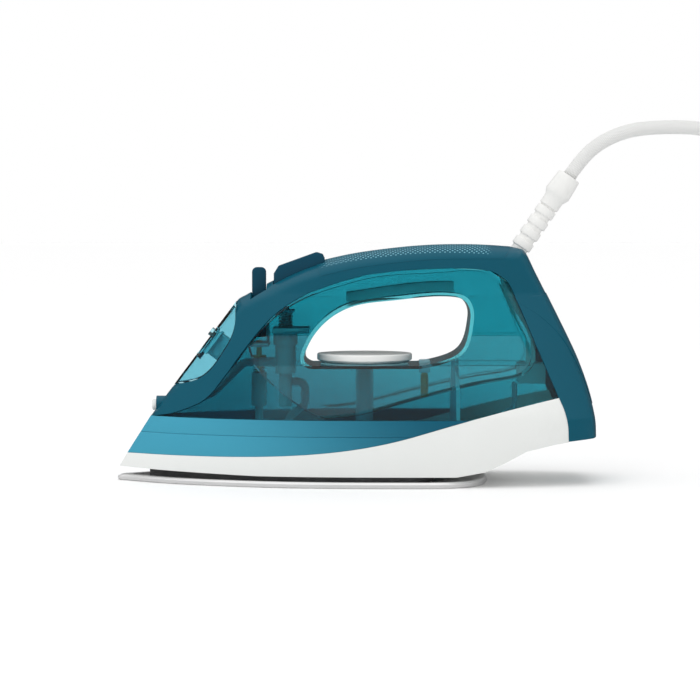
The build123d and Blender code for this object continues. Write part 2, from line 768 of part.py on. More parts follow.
cheek = 1.6
cheek_inner = lever_half + joint_gap
plate_top = pivot_z - 7.0
with BuildPart() as lever_bracket:
    with BuildSketch(Plane.XY.offset(plate_top - 2)):
        with Locations((lever_x_here, 0)):
            Rectangle(2 * (cheek_inner + cheek), 2 * body_width)
            Circle(valve_rod_diameter / 2 + joint_gap, mode=Mode.SUBTRACT)
    extrude(amount=2)
    for inner in (-cheek_inner - cheek, cheek_inner):
        with BuildSketch(Plane.YZ.offset(lever_x_here + inner)):
            with Locations((0, pivot_z - 1.2)):
                Rectangle(10, 12)
            with Locations((0, pivot_z)):
                Circle(lever_pin_diameter / 2, mode=Mode.SUBTRACT)
        extrude(amount=cheek)
    add(hollow_form, mode=Mode.INTERSECT)
save(lever_bracket.part, "lever_bracket")

with BuildPart() as lever_pin:
    with BuildSketch(Plane.YZ.offset(lever_x_here - cheek_inner - cheek)):
        with Locations((0, pivot_z)):
            Circle(lever_pin_diameter / 2)
    extrude(amount=2 * (cheek_inner + cheek))
save(lever_pin.part, "lever_pin")

valve_head = up(66.0)
valve_waist = up(45.8)
floor_top = up(base_seam) + tank_floor
rod_low = floor_top + 4
rod_high = pivot_z - barrel_radius - valve_lift - joint_gap
spring_seat = valve_head + 9.5
with BuildPart() as valve_housing:
    with BuildSketch(Plane.XY.offset(lid_top)):
        with Locations((lever_x_here, 0)):
            Circle(hose_diameter / 2)
    extrude(amount=valve_waist - lid_top)
    with BuildSketch(Plane.XY.offset(valve_waist)):
        with Locations((lever_x_here, 0)):
            Circle(4.7)
    extrude(amount=valve_head - valve_waist)
    with BuildSketch(Plane.XY.offset(lid_top + 4)):
        with Locations((lever_x_here, 0)):
            Circle(valve_rod_diameter / 2 + 0.1)
    extrude(amount=valve_head - lid_top, mode=Mode.SUBTRACT)
save(valve_housing.part, "valve_housing")

with BuildPart() as valve_rod:
    with BuildSketch(Plane.XY.offset(rod_low)):
        with Locations((lever_x_here, 0)):
            Circle(valve_rod_diameter / 2)
    extrude(amount=rod_high - rod_low)
    with BuildSketch(Plane.XY.offset(spring_seat)):
        with Locations((lever_x_here, 0)):
            Circle(4.4)
    extrude(amount=1.4)
save(valve_rod.part, "valve_rod")

with BuildPart() as valve_spring:
    with BuildLine() as valve_coil:
        Helix((spring_seat - valve_head - spring_wire - 0.1) / spring_coils,
              spring_seat - valve_head - spring_wire - 0.1, 3.2,
              center=(lever_x_here, 0, valve_head + spring_wire / 2 + 0.05))
    with BuildSketch(Plane(valve_coil.line @ 0, z_dir=valve_coil.line % 0)):
        Circle(spring_wire / 2)
    sweep(is_frenet=True)
save(valve_spring.part, "valve_spring")

# ---------------------------------------------------------------- covers and handle
relief_angle = 55.6
relief_foot = (along(100.7), 0, up(142.5))
relief_way = Vector(cos(radians(relief_angle)), 0, sin(radians(relief_angle)))
relief_plane = Plane(origin=relief_foot, x_dir=(0, 1, 0), z_dir=relief_way)
with BuildPart() as relief_bore:
    with BuildSketch(relief_plane.offset(-14)):
        Circle(relief_diameter / 2 + 0.3)
    extrude(amount=28)

lever_lean = radians(lever_swing)
lever_reach = (up(121.5) - pivot_z) * tan(lever_lean) + lever_thickness / 2 / cos(lever_lean)
lever_slot = Pos(lever_x_here, 0, up(120)) * Box(
    lever_length + 2 * slip_gap, 2 * (lever_reach + slip_gap), up(30))
button_back, button_front = along(-19.4), along(-50.4)
button_slot = Pos((button_back + button_front) / 2, 0, up(125)) * Box(
    button_back - button_front + 2 * button_gap, 2 * (button_half + button_gap), up(28))

grip_front, grip_back = along(-16.5), along(83.8)
grip_depth = 3.6
grip_under = [(x, z - grip_depth) for x, z in top_line[3:]]
grip_region = side_block((Spline, grip_under),
                         (Polyline, [grip_under[-1], (grip_under[-1][0], up(170)),
                                     (grip_under[0][0], up(170)), grip_under[0]]))
grip_box = Pos((grip_front + grip_back) / 2, 0, up(140)) * Box(grip_back - grip_front,
                                                              body_width, up(60))
panel_height = 68.0
panel_z = up(82.0)
with BuildPart() as rear_panel_block:
    with BuildSketch(Plane.YZ.offset(along(104))):
        with Locations((0, panel_z)):
            RectangleRounded(44, panel_height, 8)
    extrude(amount=body_length)

with BuildPart() as handle_cover:
    add(shell_form)
    add(inner_region, mode=Mode.SUBTRACT)
    add(window_region, mode=Mode.SUBTRACT)
    add(grip_region & grip_box, mode=Mode.SUBTRACT)
    add(rear_panel_block.part, mode=Mode.SUBTRACT)
    add(lever_slot, mode=Mode.SUBTRACT)
    add(button_slot, mode=Mode.SUBTRACT)
    add(relief_bore.part, mode=Mode.SUBTRACT)
    add(nozzle_bore.part, mode=Mode.SUBTRACT)
save(handle_cover.part, "handle_cover")

with BuildPart() as grip_pad:
    add(shell_form)
    add(grip_region & grip_box, mode=Mode.INTERSECT)
save(grip_pad.part, "grip_pad")

screw_heights = (panel_z - panel_height * 0.36, panel_z + panel_height * 0.36)


def back_x(z):
    """X of the sloping back at height z."""
    for (x0, z0), (x1, z1) in zip(back_line, back_line[1:]):
        if z1 <= z <= z0:
            return x0 + (x1 - x0) * (z0 - z) / (z0 - z1)
    return back_line[-1][0]


with BuildPart() as rear_screws:
    for z in screw_heights:
        with BuildSketch(Plane.YZ.offset(back_x(z) - 3.4)):
            with Locations((0, z)):
                Circle(screw_head / 2)
        extrude(amount=2.2)
        with BuildSketch(Plane.YZ.offset(back_x(z) - 14)):
            with Locations((0, z)):
                Circle(screw_diameter / 2)
        extrude(amount=11)
save(rear_screws.part, "rear_screws")

with BuildPart() as rear_cover:
    add(shell_form)
    add(inner_region, mode=Mode.SUBTRACT)
    add(rear_panel_block.part, mode=Mode.INTERSECT)
    for z in screw_heights:
        with BuildSketch(Plane.YZ.offset(back_x(z) - 16)):
            with Locations((0, z)):
                Circle(screw_head / 2)
        extrude(amount=20, mode=Mode.SUBTRACT)
save(rear_cover.part, "rear_cover")

rib_shape = stretch([(104, 119), (111, 119), (131, 80), (138.5, 52), (140, 20), (128, 20),
                     (127, 50), (118, 80)])
with BuildPart() as rear_rib:
    with BuildSketch(Plane.XZ.offset(-4)):
        with BuildLine():
            Polyline(*rib_shape, close=True)
        make_face()
    extrude(amount=8)
    add(hollow_form, mode=Mode.INTERSECT)
    add(rear_screws.part, mode=Mode.SUBTRACT)
save(rear_rib.part, "rear_rib")

channel_low = stretch([(-6, 110.2), (21.8, 114.2), (45.1, 116.6), (60, 116.6)])
channel_high = [(x, z + 6) for x, z in reversed(channel_low)]
channel_floor = [(x, z + 2) for x, z in channel_low]
channel_head = channel_floor[-1][1] + 10
with BuildPart() as handle_channel:
    with BuildSketch(Plane.XZ.offset(-9)):
        with BuildLine():
            Spline(*channel_low)
            Line(channel_low[-1], channel_high[0])
            Spline(*channel_high)
            Line(channel_high[-1], channel_low[0])
        make_face()
    extrude(amount=18)
    with BuildSketch(Plane.XZ.offset(-7)):
        with BuildLine():
            Spline(*channel_floor)
            Polyline(channel_floor[-1], (channel_floor[-1][0], channel_head),
                     (channel_floor[0][0], channel_head), channel_floor[0])
        make_face()
    extrude(amount=14, mode=Mode.SUBTRACT)
save(handle_channel.part, "handle_channel")

block_x = along(110.0)
block_z = up(66.0)
with BuildPart() as terminal_block:
    with BuildSketch(Plane.XY.offset(block_z - 6)):
        with Locations((block_x - 2, 0)):
            Rectangle(16, 26)
            with GridLocations(8, 8, 2, 3):
                Circle(1.6, mode=Mode.SUBTRACT)
    extrude(amount=12)
save(terminal_block.part, "terminal_block")

with BuildPart() as pilot_lens:
    with BuildSketch(Plane.XY.offset(lens_bottom)):
        with Locations((lens_x, 0)):
            Rectangle(lens_length, lens_width)
    extrude(amount=lens_top - lens_bottom)
    fillet(pilot_lens.edges().group_by(Axis.Z)[-1], 0.8)
save(pilot_lens.part, "pilot_lens")

with BuildPart() as pilot_lamp:
    with BuildSketch(Plane.XY.offset(lens_bottom - 14)):
        with Locations((lens_x, 0)):
            Circle(2.4)
    extrude(amount=14)
    fillet(pilot_lamp.edges().group_by(Axis.Z)[-1], 1.8)
save(pilot_lamp.part, "pilot_lamp")

# ---------------------------------------------------------------- strain relief and inner lead
ring_pitch = (relief_length - 16.6 - 6) / (2 * relief_slots)
with BuildPart() as strain_relief:
    with BuildSketch(relief_plane.offset(-12)):
        Circle(relief_diameter / 2 - 1.2)
    extrude(amount=relief_length + 12)
    with BuildSketch(relief_plane.offset(-12)):
        Circle(relief_diameter / 2 + 2.2)
    extrude(amount=4)
    for i in range(relief_slots):
        with BuildSketch(relief_plane.offset(2 * ring_pitch * i + ring_pitch * 0.4)):
            Circle(relief_diameter / 2)
        extrude(amount=ring_pitch * 1.3)
    with BuildSketch(relief_plane.offset(relief_length - 22.6)):
        Circle(relief_diameter / 2)
    extrude(amount=6)
    with BuildSketch(relief_plane.offset(relief_length - 16.6)):
        Circle(relief_diameter / 2)
    with BuildSketch(relief_plane.offset(relief_length - 13)):
        Circle(relief_flare / 2)
    with BuildSketch(relief_plane.offset(relief_length)):
        Circle(relief_flare / 2 - 0.8)
    loft(ruled=True)
    with BuildSketch(relief_plane.offset(-12)):
        Circle(lead_diameter / 2)
    extrude(amount=relief_length + 12, mode=Mode.SUBTRACT)
save(strain_relief.part, "strain_relief")

lead_start = relief_plane.origin - relief_way * 4
lead_inner = relief_plane.origin - relief_way * 20
inner_lead_part = tube_along(
    [tuple(lead_start), tuple(lead_inner), (along(99), 0, up(104)), (block_x - 2, 0, up(88)),
     (block_x - 2, 0, block_z + 6)], [12, 14, 10], lead_diameter)
save(inner_lead_part, "inner_lead")

wire_z = (up(base_seam) + lid_top) / 2 + 1.4
wire_down_x = tank_back + 12
wire_ends = [(heater_end + 9 + 1.2, -heater_y, heater_z), (heater_end + 9 + 1.2, heater_y, heater_z)]
with BuildPart() as heater_leads:
    for x, y, z in wire_ends:
        side = y / abs(y)
        route = [(block_x - 12, side * 8, block_z - 6), (block_x - 12, side * 8, block_z - 22),
                 (along(84), side * 15, wire_z + 10), (wire_down_x, y, wire_z),
                 (x, y, wire_z - 1), (x, y, z + 2.4)]
        with BuildLine() as wire_path:
            FilletPolyline(*route, radius=[6, 6, 6, 4])
        with BuildSketch(Plane(wire_path.line @ 0, z_dir=wire_path.line % 0)):
            Circle(wire_diameter / 2)
        sweep()
        with BuildSketch(Plane.YZ.offset(x - 3)):
            with Locations((y, z)):
                Circle(heater_diameter / 4 + 0.5)
                Circle(heater_diameter / 4, mode=Mode.SUBTRACT)
        extrude(amount=4)
save(heater_leads.part, "heater_leads")

# ---------------------------------------------------------------- cord, coil and plug
# The way of the free cord: up out of the strain relief, over, down and along the table.
cord_z = cord_diameter / 2
relief_end = relief_plane.origin + relief_way * relief_length
cord_route = [tuple(relief_end), (139.3, 0, 198.9), (151.6, 0, 209.1), (168.3, 0, 215.9),
              (188.2, 0, 217.7), (212, 0, 217.3), (234.6, 0, 211.2), (251.6, 0, 198.8),
              (262.8, 0, 181.0), (267.6, 1.5, 159.6), (268.5, 8, 122), (267.1, 18, 77),
              (270.4, 25, 53.2), (280.3, 31.5, 34.7), (295.2, 37.5, 21.4), (315.0, 42, 11.8),
              (338.4, 44.6, 6.4), (362, 45, cord_z), (382, 45, cord_z + 0.01)]
coil_entry = Vector(382, 45, cord_z)
coil_outer = 55.5
coil_centre = (coil_entry.X, coil_entry.Y - coil_outer)
coil_height = 2 * cord_diameter
coil_exit = Vector(coil_centre[0], coil_centre[1] - coil_outer + cord_z, 3 * cord_z)
plug_z = plug_diameter / 2
plug_entry = Vector(coil_exit.X - 58, coil_exit.Y, plug_z)
tail_route = [tuple(coil_exit), (coil_exit.X - 18, coil_exit.Y, 3 * cord_z + 1.0),
              (coil_exit.X - 40, coil_exit.Y - 0.5, plug_z - 1.2), tuple(plug_entry)]


def cord_radii(route):
    """Arc radius at each inner point: as large as the runs beside it allow."""
    points = [Vector(*p) for p in route]
    radii = []
    for a, b, c in zip(points, points[1:], points[2:]):
        half_turn = (b - a).get_angle(c - b) / 2
        shorter = min((b - a).length, (c - b).length)
        radii.append(0.45 * shorter / tan(radians(half_turn)))
    return radii


route_radii = cord_radii(cord_route)
tail_radii = cord_radii(tail_route)
print("cord radii", [round(r) for r in route_radii], [round(r) for r in tail_radii])
with BuildPart() as cord:
    for route, radii in ((cord_route, route_radii), (tail_route, tail_radii)):
        with BuildLine() as cord_path:
            FilletPolyline(*route, radius=radii)
        with BuildSketch(Plane(cord_path.line @ 0, z_dir=cord_path.line % 0)):
            Circle(cord_diameter / 2)
        sweep()
        print("cord run", round(sum(edge.length for edge in cord_path.edges())))
print("cord volume", round(cord.part.volume))
save(cord.part, "cord")

with BuildPart() as cord_coil:
    with BuildSketch(Plane.XZ):
        with Locations((coil_outer - 1.5 * cord_diameter, coil_height / 2)):
            RectangleRounded(3 * cord_diameter + cord_diameter, coil_height, cord_z - 0.1)
    revolve(axis=Axis.Z)
save(cord_coil.part.moved(Location((coil_centre[0], coil_centre[1], 0))), "cord_coil")

with BuildPart() as plug:
    with BuildSketch(Plane(plug_entry, x_dir=(0, 1, 0), z_dir=(-1, 0, 0))):
        Circle(cord_diameter / 2 + 1.6)
    with BuildSketch(Plane(plug_entry - Vector(16, 0, 0), x_dir=(0, 1, 0), z_dir=(-1, 0, 0))):
        Circle(cord_diameter / 2 + 3)
    with BuildSketch(Plane(plug_entry - Vector(plug_length - 12, 0, 0), x_dir=(0, 1, 0),
                           z_dir=(-1, 0, 0))):
        Circle(plug_diameter / 2 - 2)
    with BuildSketch(Plane(plug_entry - Vector(plug_length - 9, 0, 0), x_dir=(0, 1, 0),
                           z_dir=(-1, 0, 0))):
        Circle(plug_diameter / 2)
    with BuildSketch(Plane(plug_entry - Vector(plug_length, 0, 0), x_dir=(0, 1, 0),
                           z_dir=(-1, 0, 0))):
        Circle(plug_diameter / 2)
    loft(ruled=True)
save(plug.part, "plug")

plug_face = Plane(plug_entry - Vector(plug_length, 0, 0), x_dir=(0, 1, 0), z_dir=(-1, 0, 0))
with BuildPart() as plug_pins:
    with BuildSketch(plug_face):
        with GridLocations(pin_spacing, 1, 2, 1):
            Circle(pin_diameter / 2)
    extrude(amount=pin_length)
    fillet(plug_pins.edges().group_by(Axis.X)[0], pin_diameter * 0.3)
save(plug_pins.part, "plug_pins")
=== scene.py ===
"""Steam iron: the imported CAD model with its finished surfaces, cord, light and camera."""
import json
import math

import bmesh
import bpy
import numpy as np
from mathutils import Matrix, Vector


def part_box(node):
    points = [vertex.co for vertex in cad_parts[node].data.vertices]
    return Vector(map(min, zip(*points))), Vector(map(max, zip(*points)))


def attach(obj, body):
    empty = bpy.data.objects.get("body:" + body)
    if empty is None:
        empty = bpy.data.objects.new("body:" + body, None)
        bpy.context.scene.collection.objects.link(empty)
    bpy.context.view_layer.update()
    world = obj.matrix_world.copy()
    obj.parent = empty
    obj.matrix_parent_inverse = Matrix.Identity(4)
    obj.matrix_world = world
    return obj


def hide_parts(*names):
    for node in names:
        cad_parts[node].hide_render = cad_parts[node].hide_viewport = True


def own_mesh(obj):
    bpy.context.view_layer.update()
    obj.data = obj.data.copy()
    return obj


bl_info = {
    "name": "Steam iron",
    "version": (1, 0, 0),
    "blender": (4, 5, 0),
    "location": "View3D > Sidebar > Iron",
    "description": "Builds the shells, cord, finishes and stage of a steam iron",
    "category": "Object",
}

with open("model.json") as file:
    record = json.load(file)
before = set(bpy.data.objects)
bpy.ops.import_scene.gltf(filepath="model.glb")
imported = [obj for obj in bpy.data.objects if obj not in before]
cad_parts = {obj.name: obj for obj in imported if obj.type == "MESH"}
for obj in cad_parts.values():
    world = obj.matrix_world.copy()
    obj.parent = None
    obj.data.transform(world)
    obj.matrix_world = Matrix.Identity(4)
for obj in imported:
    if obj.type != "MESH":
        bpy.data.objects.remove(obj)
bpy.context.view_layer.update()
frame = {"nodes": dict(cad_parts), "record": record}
NODES = frame["nodes"]
MM = 0.001
BODY_OF = {node: body for body, names in frame["record"]["behaviour"]["bodies"].items()
           for node in names}
TRAVEL_OF = {joint["name"]: joint["range_m"][1]
             for joint in frame["record"]["behaviour"]["joints"] if joint["type"] == "slide"}
SLOT_OF = {part["node"]: part["material_slot"] for part in frame["record"]["subparts"]}


# ------------------------------------------------------------------ shader tools
class Value:
    """A shader socket that takes part in Python arithmetic by adding Math nodes."""

    def __init__(self, nodes, socket):
        self.nodes = nodes
        self.socket = socket

    def _math(self, operation, *values):
        return self.nodes.node("ShaderNodeMath", {"operation": operation},
                               dict(enumerate(values)))[0]

    def __add__(self, other):
        return self._math("ADD", self, other)

    __radd__ = __add__

    def __sub__(self, other):
        return self._math("SUBTRACT", self, other)

    def __rsub__(self, other):
        return self._math("SUBTRACT", other, self)

    def __mul__(self, other):
        return self._math("MULTIPLY", self, other)

    def __truediv__(self, other):
        return self._math("DIVIDE", self, other)

    def __pow__(self, other):
        return self._math("POWER", self, other)

    def absolute(self):
        return self._math("ABSOLUTE", self)

    def sine(self):
        return self._math("SINE", self)

    def step(self, low, high, before=0.0, after=1.0):
        """One value below low, the other above high, smooth between."""
        return self.nodes.node("ShaderNodeMapRange", {"interpolation_type": "SMOOTHSTEP"},
                               {"Value": self, "From Min": low, "From Max": high,
                                "To Min": before, "To Max": after})[0]


class Nodes:
    """A node tree, of a material or of the world, that nodes are added to."""

    def __init__(self, tree):
        self.tree = tree

    def feed(self, socket, value):
        if isinstance(value, Value):
            self.tree.links.new(value.socket, socket)
        elif isinstance(value, (tuple, list)) and len(value) == 3 and socket.type == "RGBA":
            socket.default_value = (*value, 1.0)
        else:
            socket.default_value = value

    def node(self, kind, settings=None, inputs=None):
        """Adds a node: its settings first, then its sockets' values or links. Returns its outputs."""
        made = self.tree.nodes.new(kind)
        for key, value in (settings or {}).items():
            setattr(made, key, value)
        for key, value in (inputs or {}).items():
            self.feed(made.inputs[key], value)
        return [Value(self, out) for out in made.outputs]


SHADER_SOCKETS = {"Color": "Base Color", "Coat": "Coat Weight", "Coat_Roughness": "Coat Roughness",
                  "Specular": "Specular IOR Level", "Sheen": "Sheen Weight",
                  "Transmission": "Transmission Weight"}


class Finish(Nodes):
    """One material: a Principled shader and the nodes that feed it."""

    def __init__(self, name, **shader):
        self.material = bpy.data.materials.new(name)
        self.material.use_nodes = True
        super().__init__(self.material.node_tree)
        self.shader = self.tree.nodes["Principled BSDF"]
        self.set(**shader)

    def set(self, **values):
        for key, value in values.items():
            self.feed(self.shader.inputs[SHADER_SOCKETS.get(key, key)], value)

    def place(self, scale=(1, 1, 1), uv=False):
        """Object coordinates (metres) or the piece's own UV, scaled."""
        source = self.node("ShaderNodeTexCoord")[2 if uv else 3]
        return self.node("ShaderNodeMapping", None, {"Vector": source, "Scale": scale})[0]

    def axes(self, vector=None):
        return self.node("ShaderNodeSeparateXYZ", None, {0: vector or self.place()})

    def noise(self, scale, detail=3.0, stretch=(1, 1, 1)):
        return self.node("ShaderNodeTexNoise", None,
                         {"Vector": self.place(stretch), "Scale": scale, "Detail": detail})[0]

    def mix(self, factor, first, second):
        """Colour between two. The Mix node's colour sockets are inputs 6 and 7 and output 2."""
        return self.node("ShaderNodeMix", {"data_type": "RGBA"},
                         {0: factor, 6: first, 7: second})[2]

    def bump(self, height, distance, strength, under=None):
        inputs = {"Height": height, "Distance": distance, "Strength": strength}
        if under is not None:
            inputs["Normal"] = under
        return self.node("ShaderNodeBump", None, inputs)[0]


def paint(material, *names):
    """Gives CAD nodes or pieces one material."""
    for name in names:
        thing = NODES[name] if isinstance(name, str) else name
        if len(thing.material_slots) == 0:
            thing.data.materials.append(material)
        for slot in thing.material_slots:
            slot.material = material


def srgb(r, g, b):
    """Linear colour from 0..255 display values."""
    def linear(c):
        c = c / 255
        return c / 12.92 if c <= 0.04045 else ((c + 0.055) / 1.055) ** 2.4
    return (linear(r), linear(g), linear(b))


# ------------------------------------------------------------------ finishes
MOULDED_IOR = 1.48
FULL_GRAIN = 0.00005 / 0.15     # bump depth in metres of moulded plastic whose grain is 1
GRIP_DOT_PITCH = 0.00155
YARN_PITCH = 0.0021
YARNS_AROUND = 12


def moulded(name, colour, roughness=0.35, grain=0.15, coat=0.0, speck=0.06):
    """Moulded plastic: slight colour drift, orange-peel bump and uneven gloss."""
    f = Finish(name, Coat=coat, Coat_Roughness=0.12, IOR=MOULDED_IOR, Specular=0.3)
    darker, lighter = (tuple(c * (1 + side * speck / 2) for c in colour) for side in (-1, 1))
    f.set(Color=f.mix(f.noise(35, 4), darker, lighter),
          Roughness=roughness - 0.05 + f.noise(120) * 0.1,
          Normal=f.bump(f.noise(900, 2), FULL_GRAIN * grain, 0.5))
    return f


def tinted_tank(name, deep, light):
    """Tinted clear plastic: deeper at the foot and toe, with faint flow lines."""
    f = Finish(name, Transmission=1.0, IOR=1.49, Specular=0.25)
    x, _, z = f.axes()
    flow = f.noise(18, stretch=(1, 1, 3))
    reach = (z + x * 0.3 + flow * 0.01).step(0.02, 0.12)
    f.set(Color=f.mix(reach, deep, light), Roughness=0.03 + f.noise(60, 2) * 0.05,
          Normal=f.bump(flow, 0.0004, 0.15))
    return f


def brushed(name, colour, roughness=0.3, metallic=1.0):
    """Metal with fine lines along X."""
    f = Finish(name, Metallic=metallic)
    lines = f.noise(60, 4, (1, 40, 40))
    f.set(Color=f.mix(f.noise(25), tuple(c * 0.86 for c in colour), colour),
          Roughness=roughness - 0.08 + lines * 0.16, Normal=f.bump(lines, 0.00004, 0.6))
    return f


def cast(name, colour):
    """Sand-cast aluminium."""
    f = Finish(name, Metallic=1.0)
    grit = f.noise(1400, 4)
    f.set(Color=f.mix(f.noise(40), tuple(c * 0.7 for c in colour), colour),
          Roughness=0.42 + grit * 0.2, Normal=f.bump(grit, 0.00012, 0.7))
    return f


def band_with_painted_light(name):
    """Teal trim painted light blue towards the toe and foot: painted light that stands for light let
    through the clear teal with the white skirt behind, fading to teal towards the heel and top.
    """
    f = Finish(name, Specular=0.3, IOR=MOULDED_IOR)
    x, _, z = f.axes()
    # Painted light: light blue at the toe and foot, teal towards the heel and top.
    reach = (x + z).step(-0.07, 0.1)
    f.set(Color=f.mix(reach, srgb(62, 152, 178), srgb(6, 88, 112)),
          Roughness=0.3 + f.noise(150) * 0.1, Normal=f.bump(f.noise(900, 2), 0.00004, 0.5))
    return f


def dotted_grip(name, colour, dots):
    """Satin plastic with slanted rows of fine raised dots over the top of the grip."""
    f = Finish(name, Specular=0.3, IOR=MOULDED_IOR)
    x = f.axes()[0]
    u, v, _ = f.axes(f.place(uv=True))
    turn = math.pi / GRIP_DOT_PITCH
    quarter = math.pi / 2
    field = (((u + v) * turn + quarter).sine() + ((u - v) * turn + quarter).sine()) * 0.5
    dot = field.step(0.36, 0.6)
    zone = x.step(-0.024, -0.016) * (1 - x.step(0.078, 0.084))
    mark = dot * zone * (1 - v.absolute().step(0.0185, 0.0192))
    f.set(Color=f.mix(mark * 0.9, colour, dots), Roughness=0.42 - mark * 0.1,
          Normal=f.bump(mark, 0.0002, 0.8, f.bump(f.noise(1000, 2), 0.00003, 0.5)))
    return f


def braided(name):
    """White textile sleeve: two sets of crossing yarns over the cord's own length and girth."""
    f = Finish(name, Sheen=0.3)
    u, v, _ = f.axes(f.place(uv=True))
    lean = v * (2 * math.pi * YARNS_AROUND)
    run = u / YARN_PITCH * math.pi
    left = (run + lean).sine().absolute()
    right = (run - lean).sine().absolute()
    yarn = (left * right) ** 0.6
    f.set(Color=f.mix(yarn, srgb(214, 215, 214), srgb(248, 248, 246)), Roughness=0.75,
          Normal=f.bump(yarn, 0.0004, 0.8))
    return f


FINISHES = {}
# The handle channel gets a near-white colour: painted light that stands for light reaching the
# channel, which lies in shade under the handle.
PAINTED_LIGHT_FINISH = {"handle_channel": "channel_painted_light"}


def make_finishes():
    """Every finish by the record's slot name."""
    teal = srgb(0, 82, 102)
    FINISHES.update({
        "sole_metal": brushed("sole_metal", (0.9, 0.9, 0.9), 0.32, metallic=0.35),
        "cast_metal": cast("cast_metal", (0.3, 0.3, 0.31)),
        "heater_metal": brushed("heater_metal", (0.3, 0.27, 0.24), 0.4),
        "steel": brushed("steel", (0.6, 0.6, 0.61), 0.28),
        "brass_parts": brushed("brass_parts", (0.72, 0.53, 0.24), 0.3),
        "white_shell": moulded("white_shell", srgb(226, 228, 226), 0.24, coat=0.4, speck=0.02),
        "light_blue": band_with_painted_light("light_blue"),
        "tank_clear": tinted_tank("tank_clear", (0.03, 0.30, 0.37), (0.09, 0.50, 0.57)),
        "window_clear": tinted_tank("window_clear", (0.42, 0.76, 0.84), (0.42, 0.76, 0.84)),
        "dark_teal": moulded("dark_teal", teal, 0.36, coat=0.08),
        "grip": dotted_grip("grip", teal, srgb(120, 186, 204)),
        "button_plastic": moulded("button_plastic", srgb(0, 66, 88), 0.4, coat=0.08),
        "inner_teal": moulded("inner_teal", srgb(96, 196, 210), 0.4),
        "inner_grey": moulded("inner_grey", srgb(196, 220, 224), 0.4),
        "dial_white": moulded("dial_white", srgb(232, 233, 231), 0.3, coat=0.3, speck=0.02),
        "clear_part": moulded("clear_part", srgb(170, 214, 224), 0.1, coat=0.6),
        "lamp": moulded("lamp", srgb(214, 120, 50), 0.2),
        "seal_rubber": moulded("seal_rubber", srgb(28, 30, 32), 0.6, grain=0.4),
        "hose_rubber": moulded("hose_rubber", srgb(150, 196, 206), 0.5, grain=0.3),
        "ceramic_part": moulded("ceramic_part", srgb(206, 200, 188), 0.6, grain=0.5),
        "cord_white": moulded("cord_white", srgb(232, 232, 230), 0.45, grain=0.3, speck=0.02),
        "cord_sleeve": braided("cord_sleeve"),
        # Near white: painted light for the handle channel, which lies in shade under the handle.
        "channel_painted_light": moulded("channel_painted_light", srgb(204, 246, 250), 0.4),
    })
    FINISHES["clear_part"].set(Alpha=0.55)


# ------------------------------------------------------------------ properties
class IronCord(bpy.types.PropertyGroup):
    diameter: bpy.props.FloatProperty(name="Diameter", description="Cord diameter",
                                      default=0.0085, unit="LENGTH")
    length: bpy.props.FloatProperty(name="Length", description="Length of the whole cord",
                                    default=1.8, unit="LENGTH")
    coil_radius: bpy.props.FloatProperty(name="Coil radius", unit="LENGTH", default=0.0555,
                                         description="Radius of the outermost turn")
    coil_turns: bpy.props.FloatProperty(name="Turns", default=4.5,
                                        description="Turns of cord in the put-away coil")


class IronStage(bpy.types.PropertyGroup):
    eye: bpy.props.FloatVectorProperty(name="Eye", description="Place of the camera", size=3,
                                       default=(-0.0037, -1.466, 0.154), subtype="TRANSLATION")
    pitch: bpy.props.FloatProperty(name="Pitch", description="How far the camera looks down",
                                   default=math.radians(2.88), subtype="ANGLE")
    lens: bpy.props.FloatProperty(name="Lens", description="Focal length in millimetres",
                                  default=122.1)
    sky_light: bpy.props.FloatProperty(name="Sky", default=0.86,
                                       description="Brightness of the surroundings")
    gloss_light: bpy.props.FloatProperty(name="Gloss", default=0.1,
                                         description="Brightness that gloss reflects")
    gloss_top: bpy.props.FloatProperty(name="Gloss overhead", default=0.9,
                                       description="Brightness overhead that gloss reflects")
    overhead: bpy.props.FloatProperty(name="Overhead", default=0.78,
                                      description="Strength of the light from above")
    key: bpy.props.FloatProperty(name="Key", default=2.0, unit="POWER",
                                 description="Power of the lamp on the near side")
    floor_colour: bpy.props.FloatVectorProperty(name="Floor", description="Floor colour", size=3,
                                                default=(0.96, 0.96, 0.96), subtype="COLOR")


# ------------------------------------------------------------------ surfaces
SHARP_ANGLE = math.radians(35)
BEVEL_ANGLE = math.radians(32)
FLAT_ANGLE = math.radians(0.8)      # facets of one flat face differ by less than this
WELD = 0.02                         # millimetres


def grid_mesh(name, points, closed=False, uv=None):
    """Mesh of a rows x columns grid of points, whose rows may close on themselves."""
    rows, columns = points.shape[:2]
    r = np.arange(rows - 1)
    c = np.arange(columns if closed else columns - 1)
    here = r[:, None] * columns
    beside = (c[None, :] + 1) % columns
    faces = np.stack([here + c, here + beside, here + columns + beside, here + columns + c],
                     -1).reshape(-1, 4)
    mesh = bpy.data.meshes.new(name)
    mesh.from_pydata(points.reshape(-1, 3).tolist(), [], faces.tolist())
    if uv is not None:
        layer = mesh.uv_layers.new(name="own")
        layer.data.foreach_set("uv", uv(r, c).astype(np.float32).ravel())
    mesh.shade_smooth()
    mesh.update()
    piece = bpy.data.objects.new(name, mesh)
    bpy.context.scene.collection.objects.link(piece)
    return piece


def finished(piece):
    """Turns a piece's modifiers into mesh and shades it smooth except at sharp edges."""
    bpy.context.view_layer.update()
    mesh = bpy.data.meshes.new_from_object(
        piece.evaluated_get(bpy.context.evaluated_depsgraph_get()))
    piece.modifiers.clear()
    piece.data = mesh
    mesh.shade_smooth()
    mesh.set_sharp_from_angle(angle=SHARP_ANGLE)
    return piece


def declare(piece, *nodes):
    """The piece rides with its CAD node's body, stands for it and takes its finish."""
    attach(piece, BODY_OF[nodes[0]])
    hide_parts(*nodes)
    paint(FINISHES[PAINTED_LIGHT_FINISH.get(nodes[0], SLOT_OF[nodes[0]])].material, piece)
    return piece


